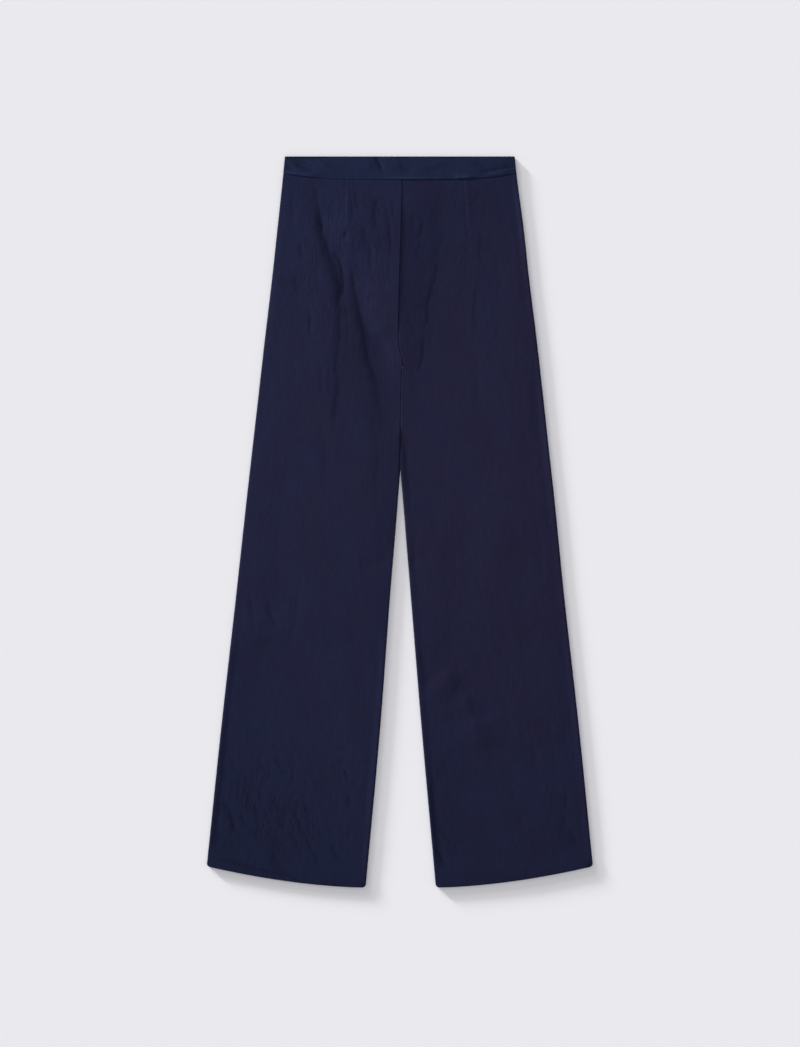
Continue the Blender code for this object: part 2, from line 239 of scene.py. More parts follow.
# %% Creases of the left back piece
Crease = namedtuple("Crease", "x0 drop0 x1 drop1 x2 drop2 left right height")
LEFT_CREASES = (
    Crease(-190, 60, -196, 160, -206, 330, 10, 14, 0.5),
    # Short lines by the dart and the seat seam, and on the hip.
    Crease(-67, 52, -65, 66, -62, 82, 2.5, 4, -0.7),
    Crease(-74, 60, -72, 74, -68, 90, 2.5, 4, -0.5),
    Crease(-31, 58, -37, 82, -32, 112, 3, 5, -0.7),
    Crease(-45, 60, -36, 74, -24, 94, 3, 5, -0.5),
    Crease(-22, 74, -17, 92, -13, 118, 3, 4, -0.6),
    Crease(-13, 62, -11, 78, -8, 96, 3, 4, -0.5),
    Crease(-10, 106, -14, 124, -11, 150, 2.5, 4, -0.5),
    Crease(-149, 128, -147, 142, -143, 156, 3, 4, -0.6),
    Crease(-158, 176, -155, 190, -157, 206, 3, 5, -0.5),
    Crease(-137, 226, -135, 246, -133, 268, 2.5, 4, -0.6),
    Crease(-120, 300, -118, 330, -119, 352, 3, 5, -0.4),
    Crease(-101, 300, -106, 330, -104, 360, 2.5, 4, -0.4),
    Crease(-47, 126, -44, 150, -41, 172, 3, 5, -0.5),
    Crease(-56, 100, -52, 118, -50, 138, 3, 5, -0.5),
    Crease(-163, 66, -160, 84, -160, 102, 3, 5, -0.5),
    Crease(-26, 440, -34, 470, -36, 520, 8, 12, -0.5),
    Crease(-118, 400, -112, 440, -112, 500, 6, 9, -0.4),
    # The knee and the long shallow trough below it.
    Crease(-62, 614, -34, 607, -8, 600, 10, 8, -1.0),
    Crease(-100, 600, -84, 612, -62, 614, 6, 6, -0.4),
    Crease(-172, 470, -184, 620, -200, 780, 30, 34, -0.8),
    Crease(-226, 660, -222, 676, -214, 700, 3, 5, -0.5),
    Crease(-198, 668, -192, 690, -183, 706, 3, 5, -0.7),
    Crease(-150, 640, -158, 700, -166, 752, 6, 9, -0.5),
    # The litter of creases above the hem.
    Crease(-192, 736, -188, 756, -180, 776, 3, 5, -0.41),
    Crease(-212, 806, -206, 830, -200, 856, 4, 6, -0.41),
    Crease(-186, 898, -181, 914, -174, 926, 2.5, 4, -0.87),
    Crease(-192, 870, -188, 884, -186, 900, 3, 4, -0.34),
    Crease(-232, 946, -229, 956, -221, 962, 2.5, 4, -0.67),
    Crease(-264, 968, -254, 982, -247, 1014, 3, 5, -0.94),
    Crease(-238, 988, -234, 996, -233, 1008, 2.5, 4, -0.53),
    Crease(-224, 962, -219, 978, -214, 1002, 3, 5, -0.53),
    Crease(-204, 980, -200, 990, -198, 1002, 2.5, 4, -0.67),
    Crease(-186, 986, -182, 996, -176, 1010, 2.5, 4, -0.81),
    Crease(-184, 1018, -190, 1046, -170, 1074, 2.5, 5, -1.15),
    Crease(-193, 1048, -190, 1062, -182, 1074, 2.5, 4, -0.67),
    Crease(-158, 980, -152, 1000, -146, 1012, 2.5, 4, -0.87),
    Crease(-148, 1006, -140, 1024, -128, 1046, 3, 5, -1.01),
    Crease(-132, 1040, -127, 1052, -128, 1066, 2.5, 4, -0.94),
    Crease(-168, 1010, -160, 1022, -150, 1034, 2.5, 4, -0.67),
    Crease(-162, 964, -156, 972, -152, 984, 2.5, 3.5, -0.6),
    Crease(-142, 966, -139, 978, -132, 984, 2.5, 3.5, -0.48),
    Crease(-102, 1030, -98, 1044, -88, 1058, 2.5, 4, -0.87),
    Crease(-100, 1000, -88, 1006, -76, 1020, 3.5, 3, -0.34),
    Crease(-82, 918, -80, 926, -78, 934, 2.5, 3.5, -0.74),
    Crease(-96, 884, -86, 888, -74, 886, 3, 3, -0.34),
    Crease(-113, 892, -100, 910, -86, 924, 4, 6, -0.34),
    Crease(-78, 956, -75, 966, -73, 976, 2.5, 3.5, -0.48),
    Crease(-212, 948, -210, 958, -208, 968, 2.5, 3.5, -0.48),
    # The line that the turned-up hem presses into the face.
    Crease(-278, 1051, -212, 1067, -146, 1082, 3.5, 3, -0.9),
    Crease(-284, 1030, -276, 1046, -262, 1058, 12, 10, 0.6),
)

# %% Creases of the right back piece
RIGHT_CREASES = (
    Crease(34, 92, 32, 108, 28, 124, 2.5, 4, -0.45),
    Crease(22, 86, 21, 96, 19, 110, 2.5, 4, -0.4),
    Crease(30, 128, 28, 142, 27, 156, 2.5, 4, -0.4),
    Crease(114, 300, 117, 350, 118, 400, 5, 7, -0.4),
    Crease(124, 76, 127, 82, 131, 90, 3, 3, -0.5),
    Crease(98, 118, 97, 136, 94, 152, 3, 3, -0.4),
    Crease(84, 130, 82, 150, 78, 168, 3, 4, -0.35),
    Crease(143, 130, 147, 170, 150, 214, 5, 7, -0.35),
    Crease(168, 96, 174, 150, 182, 220, 8, 10, 0.4),
    Crease(188, 130, 194, 300, 206, 480, 60, 16, 1.0),
    # The knee, and long shallow undulations either side of it.
    Crease(9, 603, 24, 600, 46, 593, 11, 8, -0.9),
    Crease(60, 610, 74, 604, 92, 606, 6, 6, -0.4),
    Crease(90, 420, 98, 560, 100, 690, 26, 26, -0.6),
    Crease(176, 480, 184, 620, 192, 780, 22, 26, -0.5),
    Crease(206, 540, 210, 590, 214, 640, 6, 8, -0.35),
    # Short dents by the ridge that crosses the calf.
    Crease(150, 800, 160, 830, 166, 866, 6, 8, -0.35),
    # The pull at the inner hem, the dents by the side seam, and the pressed hem.
    Crease(42, 966, 64, 1014, 100, 1056, 12, 18, -1.9),
    Crease(50, 1032, 62, 1050, 68, 1072, 4, 9, -0.9),
    Crease(44, 930, 50, 960, 56, 996, 8, 10, -0.7),
    Crease(246, 862, 249, 874, 250, 886, 5, 5, -0.5),
    Crease(252, 956, 248, 968, 250, 980, 4, 4, -0.6),
    Crease(244, 984, 248, 996, 244, 1008, 4, 4, -0.6),
    Crease(256, 1010, 262, 1024, 270, 1040, 5, 7, -0.7),
    Crease(176, 984, 182, 996, 184, 1010, 6, 6, -0.5),
    Crease(118, 1000, 124, 1012, 132, 1026, 5, 5, -0.35),
    Crease(196, 880, 202, 900, 204, 920, 5, 6, -0.35),
    Crease(70, 1077, 120, 1076, 176, 1068, 4, 5, -0.5),
)
print(f"left piece: {len(LEFT_PULLS)} pulls and {len(LEFT_CREASES)} creases")
print(f"right piece: {len(RIGHT_PULLS)} pulls and {len(RIGHT_CREASES)} creases")

# %% [markdown]
# ## A crease's line
#
# A crease in cloth is never a clean curve. Each one sways a little about its line, is uneven in
# depth and fades at both ends. The line is cut into short steps, and the stations between them
# carry the reach to the left and to the right. The shift from one crease to the next keeps two
# neighbours from swaying together.

# %% A crease's line and strength
STEPS = 40
ROUNDINGS = 5
SWAY, SWAY_WAVES, SWAY_SHIFT = 0.10, 1.7, 0.37
UNEVEN, UNEVEN_WAVES, UNEVEN_SHIFT = 0.12, 1.9, 0.61
PULL_STARTS, PULL_ENDS = (0, 0.16), (1, 0.80)
CREASE_SPAN = (0.02, 0.98)
CREASE_FADE = 0.6


def crease_line(crease, number):
    """Stations along a crease or a pull: x, drop, and its reach to the left and right there."""
    t = np.linspace(0, 1, STEPS + 1)
    if isinstance(crease, Pull):
        points = np.array(crease.points, float)
        along = np.concatenate([[0], np.cumsum(np.hypot(*np.diff(points, axis=0).T))])
        x, drop = (np.interp(t, along / along[-1], points[:, k]) for k in (0, 1))
        for line in (x, drop):
            for _ in range(ROUNDINGS):
                line[1:-1] = (line[:-2] + 2 * line[1:-1] + line[2:]) / 4
        return x, drop, np.interp(t, (0, 1), crease.left), np.interp(t, (0, 1), crease.right)
    bow = 4 * t * (1 - t)
    x = crease.x0 + (crease.x2 - crease.x0) * t + bow * (crease.x1 - (crease.x0 + crease.x2) / 2)
    drop = crease.drop0 + (crease.drop2 - crease.drop0) * t
    drop = drop + bow * (crease.drop1 - (crease.drop0 + crease.drop2) / 2)
    sway = np.sin(2 * math.pi * (SWAY_WAVES * t + SWAY_SHIFT * number))
    x = x + SWAY * crease.left * sway
    return x, drop, np.full(STEPS + 1, crease.left), np.full(STEPS + 1, crease.right)


def fade_along(crease, number, share):
    """How strong a crease is at a share of its length: it fades at both ends and wavers."""
    if isinstance(crease, Pull):
        fade = smooth_step(*PULL_STARTS, share) * smooth_step(*PULL_ENDS, share)
    else:
        fade = np.sin(math.pi * np.clip(share, *CREASE_SPAN)) ** CREASE_FADE
    wave = 2 * math.pi * (UNEVEN_WAVES * share + UNEVEN_SHIFT * number)
    return fade * (1 + UNEVEN * np.sin(wave))


# %% [markdown]
# ## Measuring a crease at every point of the cloth
#
# Each point finds the nearest place on the crease's line. How far away that is, on which side,
# and how far along the line give the height there. The sums run on whole arrays with numpy,
# which is what makes tens of thousands of points quick. A sharp crease also gets a painted dark
# line of shade along its bottom, and a sharp ridge a painted paler highlight along its top, so
# both are measured for the material to use.

# %% Crease relief
CUSP = 1.35
FARTHEST = 2.8
# A sharp crease gets a painted dark line of shade along its bottom, a sharp ridge a painted
# highlight on its top.
FOLD_LINE = 1.9
FOLD_STEEPNESS = (0.02, 0.24)
HIGHLIGHT_LINE = 2.6
HIGHLIGHT_STEEPNESS = (0.25, 0.7)
PAINTED_HIGHLIGHT = 1.2
# A relief's fold is a painted tone: painted shade where it is above 0, a painted highlight where
# below.
Relief = namedtuple("Relief", "height fold")


def nearest_place(line_x, line_drop, x, drop):
    """How far each point is from a line, if it is to its left, and how many steps along it."""
    step_x, step_drop = np.diff(line_x), np.diff(line_drop)
    off_x = x[:, None] - line_x[:-1]
    off_drop = drop[:, None] - line_drop[:-1]
    part = (off_x * step_x + off_drop * step_drop) / (step_x**2 + step_drop**2)
    part = np.clip(part, 0, 1)
    every = np.hypot(off_x - part * step_x, off_drop - part * step_drop)
    best = every.argmin(axis=1)
    row = np.arange(len(best))
    turn = step_x[best] * off_drop[row, best] - step_drop[best] * off_x[row, best]
    return every[row, best], turn > 0, best + part[row, best]


def crease_relief(creases, x, drop):
    """What all the creases add to the cloth's height at these points, and their fold lines.

    A fold line is painted shade, 1 along the bottom of a sharp crease. It is a painted highlight,
    negative, along the top of a sharp ridge, and 0 away from both.
    """
    relief = Relief(np.zeros(len(x)), np.zeros(len(x)))
    for number, crease in enumerate(creases):
        line_x, line_drop, left, right = crease_line(crease, number)
        reach = FARTHEST * max(left.max(), right.max())
        near = (x > line_x.min() - reach) & (x < line_x.max() + reach)
        near &= (drop > line_drop.min() - reach) & (drop < line_drop.max() + reach)
        if not near.any():
            continue
        away, to_left, place = nearest_place(line_x, line_drop, x[near], drop[near])
        reaches = (np.interp(place, range(STEPS + 1), side) for side in (left, right))
        width = np.where(to_left, *reaches)
        strength = crease.height * fade_along(crease, number, place / STEPS)
        relief.height[near] += strength * np.exp(-((away / width) ** CUSP))
        steepness = strength / min(left.max(), right.max())
        # Painted shade along a crease's bottom, and a painted highlight along a sharp ridge's top.
        line = smooth_step(*FOLD_STEEPNESS, -steepness) * bell(away, FOLD_LINE)
        painted_highlight = smooth_step(*HIGHLIGHT_STEEPNESS, steepness) * bell(away, HIGHLIGHT_LINE)
        line -= PAINTED_HIGHLIGHT * painted_highlight
        stronger = np.abs(line) > np.abs(relief.fold[near])
        relief.fold[near] = np.where(stronger, line, relief.fold[near])
    return relief


# %% [markdown]
# ## The cloth's own crinkle
#
# Between the creases the cloth isn't smooth: it was washed and wrung, so it has a fine, mostly
# upright crinkle and a slow unevenness a hand wide. Perlin noise, stretched along the grain,
# gives both. mathutils has it in C, and it takes no seed, so it is the same in each run. Each
# ripple is read in a slice of the noise of its own. Some patches of the cloth, which were sat on
# or gathered, are more crinkled than the rest.

# %% Crinkle
Ripple = namedtuple("Ripple", "across along height slice")
RIPPLES = (
    Ripple(8.0, 22.0, 0.13, 3.1),
    Ripple(17.0, 60.0, 0.12, 11.7),
    Ripple(60.0, 90.0, 0.48, 27.3),
    Ripple(5.0, 9.0, 0.08, 41.9),
)
Patch = namedtuple("Patch", "x drop reach_x reach_drop strength")
CRINKLED = (
    Patch(-95, 150, 85, 150, 0.9),
    Patch(-30, 130, 40, 90, 0.8),
    Patch(105, 170, 70, 130, 0.6),
    Patch(40, 220, 30, 120, 0.5),
    Patch(-190, 985, 90, 110, 1.0),
    Patch(-95, 985, 50, 90, 0.7),
    Patch(-225, 720, 45, 110, 0.5),
    Patch(215, 800, 50, 110, 0.35),
    Patch(230, 990, 55, 60, 0.5),
    Patch(70, 1010, 40, 60, 0.5),
)
CALM = 0.25
EVERYWHERE, IN_PATCHES = 0.55, 0.45


def crinkled(x, drop):
    """How crinkled the cloth is at these points: 1 where it was sat on or gathered."""
    total = np.full(len(x), CALM)
    for patch in CRINKLED:
        away = ((x - patch.x) / patch.reach_x) ** 2 + ((drop - patch.drop) / patch.reach_drop) ** 2
        total = np.maximum(total, patch.strength * np.exp(-away) + CALM * (1 - np.exp(-away)))
    return total


def noise_at(across, along, depth):
    """Perlin noise at these places in one slice of it."""
    return np.array([noise.noise((u, v, depth)) for u, v in zip(across, along)])


def crinkle(x, drop):
    """Height of the crinkle at these points."""
    total = np.zeros(len(x))
    for ripple in RIPPLES:
        across, along = x / ripple.across + ripple.slice, drop / ripple.along
        total += ripple.height * noise_at(across, along, ripple.slice)
    return total * (EVERYWHERE + IN_PATCHES * crinkled(x, drop))


sample = crinkle(np.linspace(-200, 200, 400), np.full(400, 500.0))
print(f"crinkle from {sample.min():.2f} to {sample.max():.2f} mm")

# %% Waver
WAVER = 2.6
WAVER_SIZE = 15.0
ASIDE_SLICE, ALONG_SLICE = 61.3, 73.9


def wavering(x, drop):
    """The points shifted a little, so that creases measured from them come out uneven."""
    across, along = x / WAVER_SIZE, drop / WAVER_SIZE
    aside = WAVER * noise_at(across, along, ASIDE_SLICE)
    return x + aside, drop + WAVER * noise_at(across, along, ALONG_SLICE)


moved = wavering(np.zeros(100), np.linspace(0, 1000, 100))[0]
print(f"creases waver by up to {np.abs(moved).max():.1f} mm")

# %% [markdown]
# ## How the upper layer stands off the lower one
#
# The back pieces lie on the front ones. Where the two are sewn, the cloth comes down in a rolled
# edge. Behind the edge it has some slack, and from there it puffs up slowly to the middle of the
# leg. A quarter circle gives the roll, and two exponentials give the slack and the puff.

# %% Rolled edges
EDGE_ROLL = 2.8
EDGE_LIFT = 1.1
SLACK = 0.6
SLACK_REACH = 20.0
PUFF = 0.9
PUFF_REACH = 90.0
FULL = EDGE_LIFT + SLACK + PUFF


def edge_rise(distance):
    """Height of the rolled edge and the slack behind it, this far from an edge."""
    near = np.clip(distance / EDGE_ROLL, 0, 1)
    roll = EDGE_LIFT * np.sqrt(1 - (1 - near) ** 2)
    slack = SLACK * (1 - np.exp(-distance / SLACK_REACH))
    return roll + slack + PUFF * (1 - np.exp(-distance / PUFF_REACH))


def turned_edge(distance, radius, depth):
    """How far cloth dips where its edge is turned in, this far from the edge."""
    near = np.clip(distance / radius, 0, 1)
    return -depth * (1 - np.sqrt(1 - (1 - near) ** 2))


print(f"the upper layer stands up to {FULL:.1f} mm above its edges")

# %% [markdown]
# ## The hem corners
#
# At the two ends of a hem the fold meets a seam. The seam allowances fill the corner there, so
# the cloth keeps one height, and its folds and creases end before it.

# %% Hem corners
HEM_TURN = 14.0
CORNER_LIFT = 0.6
CORNER_DROP = (10, 4)
CORNER_WIDTH = (8, 3)


def corner_share(side, x, drop):
    """1 at a leg's hem corners, where fold and seam meet, and 0 away from them."""
    inner, outer = leg_edges(side, drop)
    from_edge = np.minimum(np.abs(x - inner), np.abs(outer - x))
    from_hem = hem_line(np.abs(x - inner) / np.abs(outer - inner)) - drop
    return smooth_step(*CORNER_DROP, from_hem) * smooth_step(*CORNER_WIDTH, from_edge)


corner_x = np.array(leg_edges("left", np.full(1, LENGTH - 4))[0])
print(f"share at an inner hem corner {corner_share('left', corner_x, LENGTH - 4)[0]:.2f}")

# %% [markdown]
# ## The form of a back piece
#
# Above the crotch the two back pieces meet in the seat seam, a shallow furrow with one side
# higher than the other. Below it the legs part bit by bit, and each has an inner edge that rolls
# down as the side seam does. The creases fade out just before a sewn edge. The waistband holds
# the cloth down at the top, and the doubled hem lifts it at the bottom: four layers can't lie
# as low there as two do further up, so the lowest that the cloth may sink rises too. That limit
# is a soft one, because a hard one would show as an edge.

# %% The form of a back piece
LAYER = 2.7
SEAM_DIP = {"left": 0.3, "right": 0.55}
SEAM_REACH = {"left": 11.0, "right": 26.0}
SEAM_ROLL = {"left": 0.9, "right": 0.2}
SEAM_TURN = 0.9
EDGE_TURN = (1.3, 0.9)
PARTS_FROM = CROTCH + 40
PARTS_BY = CROTCH + 155
CREASES_END = 12.0
HEM_LIFT = 1.7
HEM_REACH = 60.0
HEM_FOLLOW = 0.85
LOWEST = -0.5
HEM_PROUD = 1.6
PROUD_REACH = (HEM_TURN + 34, HEM_TURN - 4)
LOW_SOFTNESS = 0.5
STEEPEST_FROM = 0.2
WAIST_LIFT = 1.3
WAIST_REACH = 70.0
WAIST_HOLD = 0.8
TUCKED = 1.0
TUCK_REACH = (1.2, -1.2)
# Strength of a painted dark line of shade along the edges of the pieces.
EDGE_PAINTED_SHADE = 0.6
EDGE_LINE = 1.8


def no_lower(lift, lowest):
    """The lift with what would sink below the lowest eased up to it."""
    over = lift - lowest - LOW_SOFTNESS
    eased = lowest + LOW_SOFTNESS * np.exp(np.minimum(over, 0) / LOW_SOFTNESS)
    return np.where(over < 0, eased, lift)


def back_form(side, x, drop):
    """Height of a back piece's outer face above the surface it all lies on, and its painted fold
    tone.
    """
    inner, outer = leg_edges(side, drop)
    from_inner, from_side = np.abs(x - inner), np.abs(outer - x)
    from_hem = hem_line(from_inner / abs(outer - inner)) - drop
    from_waist = drop - waist_seam(x)
    parted = smooth_step(PARTS_FROM, PARTS_BY, drop)
    from_own_inner = from_inner + (1 - parted) * SLACK_REACH

    furrow = SEAM_DIP[side] * bell(from_inner, SEAM_REACH[side])
    at_middle = (1 - parted) * (FULL - furrow) + parted * edge_rise(from_inner)
    loft = at_middle * edge_rise(from_side) / FULL

    creases = LEFT_PULLS + LEFT_CREASES if side == "left" else RIGHT_PULLS + RIGHT_CREASES
    relief = crease_relief(creases, *wavering(x, drop))
    reached = smooth_step(0, CREASES_END, np.minimum(from_side, from_own_inner))
    rise = reached * (relief.height + crinkle(x, drop))

    pressed = smooth_step(HEM_REACH, HEM_TURN, from_hem)
    lift = loft * (1 - pressed * (1 - HEM_LIFT / FULL)) + rise * (1 - pressed * (1 - HEM_FOLLOW))
    lift = no_lower(lift, LOWEST + HEM_PROUD * smooth_step(*PROUD_REACH, from_hem))
    lift = np.minimum(lift, from_side + STEEPEST_FROM)
    held = smooth_step(WAIST_REACH, 0, from_waist) * WAIST_HOLD
    lift = lift + held * (WAIST_LIFT - lift)

    roll = turned_edge(from_side, *EDGE_TURN)
    roll = roll + (1 - parted) * turned_edge(from_inner, SEAM_TURN, SEAM_ROLL[side])
    roll = roll + parted * turned_edge(from_inner, *EDGE_TURN)
    face = lift + roll - TUCKED * smooth_step(*TUCK_REACH, from_waist)
    height = LAYER + face + corner_share(side, x, drop) * (CORNER_LIFT - face)

    # Painted shade along the side seam, the hem and the inner edge.
    from_rim = np.minimum(np.minimum(from_side, from_hem), from_own_inner)
    painted_rim_shade = EDGE_PAINTED_SHADE * bell(from_rim, EDGE_LINE)
    return Relief(height, np.maximum(relief.fold, painted_rim_shade))


# %% [markdown]
# ## A cloth shell
#
# A sewn piece is one flat shape, so each shell starts as a flat grid whose points are moved to
# their places, and a Solidify modifier gives it the cloth's thickness. A hem is the same cloth
# turned round and up inside, so the grid's last rows go round the fold and back. Rows stand
# closer together over the seat and above the hem, and columns at both edges, where the form is
# finest.

# %% Grids of cloth
Rows = namedtuple("Rows", "share turn back")
SAMPLES = 2001
SEAT_ROWS = (0.42, 0.32)
HEM_ROWS = (0.72, 0.84)
HEM_DENSITY = 1.3
EDGE_DENSITY = 3.5
EDGE_COLUMNS = 1.6


def packed(cells, density):
    """Shares from 0 to 1 with as many cells, closer together where the density is higher."""
    total = np.concatenate([[0], np.cumsum((density[1:] + density[:-1]) / 2)])
    shares = np.linspace(0, 1, len(density))
    return np.interp(np.linspace(0, 1, cells + 1), total / total[-1], shares)


def packed_rows(cells):
    """Shares from 0 to 1 down a leg, closer together over the seat and above the hem."""
    down = np.linspace(0, 1, SAMPLES)
    density = 1 + smooth_step(*SEAT_ROWS, down) + HEM_DENSITY * smooth_step(*HEM_ROWS, down)
    return packed(cells, density)


def packed_columns(cells, width):
    """Shares from 0 to 1 across a piece, closer together at both edges."""
    share = np.linspace(0, 1, SAMPLES)
    from_edge = np.minimum(share, 1 - share) * width
    return packed(cells, 1 + EDGE_DENSITY * np.exp(-from_edge / EDGE_COLUMNS))


def hem_rows(cells, turn_cells, turned):
    """Rows from the top of a piece to its fold, round the fold, and back up inside."""
    share = np.concatenate([packed_rows(cells), np.ones(2 * turn_cells)])
    around = math.pi * np.arange(1, turn_cells + 1) / turn_cells
    turn = np.concatenate([np.zeros(cells + 1), around, np.full(turn_cells, math.pi)])
    inside = turned * np.arange(1, turn_cells + 1) / turn_cells
    back = np.concatenate([np.zeros(cells + 1 + turn_cells), inside])
    return Rows(share, turn, back)


def grid_of_cloth(columns, rows):
    """A flat grid as a bmesh, and the column and row number of each of its points."""
    shape = bmesh.new()
    bmesh.ops.create_grid(shape, x_segments=columns, y_segments=rows, size=0.5)
    shape.verts.ensure_lookup_table()
    place = np.array([vert.co[:2] for vert in shape.verts]) + 0.5
    column = np.rint(place[:, 0] * columns).astype(int)
    row = np.rint(place[:, 1] * rows).astype(int)
    return shape, column, row


widths = np.diff(packed_columns(100, 200)) * 200
print(f"columns of a 200 mm piece are {widths.min():.2f} to {widths.max():.2f} mm wide")

# %% [markdown]
# The outer face is the grid itself, and the Solidify modifier grows the wall inwards from it, so
# the seams meet at their true lines. At the hem corners the cloth is folded both ways, and a wall
# of full thickness would cut through itself, so a vertex group thins it there.

# %% Finish a shell
CLOTH = 0.6
CORNER_WALL = 0.12


def add_wall(piece, thickness, thin):
    """Gives a shell its thickness, thinner where thin is 1."""
    wall = piece.modifiers.new("cloth", "SOLIDIFY")
    wall.thickness = thickness * MM
    wall.offset = -1
    wall.use_even_offset = False
    if thin is not None:
        group = piece.vertex_groups.new(name="wall")
        for number, share in enumerate(1 - (1 - CORNER_WALL) * thin):
            group.add([number], share, "REPLACE")
        wall.vertex_group = group.name


def finish_shell(name, shape, x, drop, relief, material, faces_up, thickness=CLOTH, thin=None):
    """Puts a grid's points in place, turns its face outwards and gives it its thickness."""
    for vert, place in zip(shape.verts, zip(x, TOP_EDGE - drop, relief.height)):
        vert.co = Vector(place) * MM
    shape.normal_update()
    largest = max(shape.faces, key=lambda face: abs(face.normal.z) * face.calc_area())
    if (largest.normal.z > 0) != faces_up:
        bmesh.ops.reverse_faces(shape, faces=shape.faces[:])
    for face in shape.faces:
        face.smooth = True
    mesh = bpy.data.meshes.new(name)
    shape.to_mesh(mesh)
    shape.free()
    for label, values in (("fold", relief.fold), ("crinkled", crinkled(x, drop))):
        mesh.attributes.new(label, "FLOAT", "POINT").data.foreach_set("value", values)
    piece = bpy.data.objects.new(name, mesh)
    bpy.context.scene.collection.objects.link(piece)
    piece.data.materials.append(material)
    add_wall(piece, thickness, thin)
    print(f"{name}: {len(mesh.polygons)} faces")
    return piece


# %% [markdown]
# ## The cloth's material
#
# Viscose is a soft regenerated fibre, woven here from slightly uneven yarn and dyed navy. It
# gives a dull, deep colour with hardly any shine, and a faint bloom at grazing angles. It takes
# the dye unevenly, so the colour drifts between two close navies, slowly as in clouds.
#
# The nodes are written down as rows, and each names the rows that it takes in. Their patterns
# are noise, sized by the real thing in millimetres and stretched along the grain.

# %% Colour and node helpers
def linear(code):
    """An sRGB hex colour as linear numbers."""
    channels = [int(code[k : k + 2], 16) / 255 for k in (1, 3, 5)]
    return [c / 12.92 if c <= 0.04045 else ((c + 0.055) / 1.055) ** 2.4 for c in channels] + [1.0]


Node = namedtuple("Node", "name kind settings links output", defaults=(0,))
ADD = {"operation": "ADD"}
TIMES = {"operation": "MULTIPLY"}


def add_node(tree, node, made):
    """Adds a node with its settings and its links to those made before, and keeps its output."""
    new = tree.nodes.new(f"ShaderNode{node.kind}")
    for name, value in node.settings.items():
        if isinstance(name, str) and hasattr(new, name):
            setattr(new, name, value)
        else:
            new.inputs[name].default_value = value
    for name, source in node.links.items():
        tree.links.new(made[source], new.inputs[name])
    made[node.name] = new.outputs[node.output]


def ranges(low, high, to_low, to_high):
    """The settings of a node that takes one range of numbers to another."""
    return {"From Min": low, "From Max": high, "To Min": to_low, "To Max": to_high}


# %% Patterns in the cloth
Pattern = namedtuple("Pattern", "name across along settings")
RIDGED = {"noise_type": "RIDGED_MULTIFRACTAL", "Offset": 1.0, "Gain": 1.0}
PATTERNS = (
    Pattern("clouds", 55.0, 88.0, {"Detail": 3.0}),
    # Small wrinkles come in bunches.
    Pattern("bunches", 24.0, 38.0, {"Detail": 2.0}),
    Pattern("wrinkles", 7.5, 24.0, {"Detail": 2.0, "Roughness": 0.5, "Distortion": 0.8, **RIDGED}),
    # A slub is a thicker place in a yarn, and the crepe is the cloth's fine grain.
    Pattern("slubs", 5.0, 14.0, {"Detail": 3.0, "Roughness": 0.6, "Distortion": 0.5}),
    Pattern("crepe", 5.0, 11.0, {"Detail": 4.0, "Roughness": 0.6}),
)
NODES = [
    Node("place", "TexCoord", {}, {}, "Object"),
    Node("across", "SeparateXYZ", {}, {"Vector": "place"}, "X"),
    Node("along", "SeparateXYZ", {}, {"Vector": "place"}, "Y"),
]
for row in PATTERNS:
    stretch = (1 / (row.across * MM), 1 / (row.along * MM), 1 / (row.across * MM))
    NODES.append(Node("stretched", "Mapping", {"Scale": stretch}, {"Vector": "place"}))
    settings = {"Scale": 1.0, **row.settings}
    NODES.append(Node(row.name, "TexNoise", settings, {"Vector": "stretched"}))
print("patterns:", [row.name for row in PATTERNS])

# %% [markdown]
# The colour is bluer at the left and at both ends, and more purple at the right. Wrinkles lie only
# where the cloth is crinkled. Thick yarn is paler, and sharp ridges get a painted highlight. Folds
# and wrinkles get painted shade, and so do the hems, a little further up at the left.

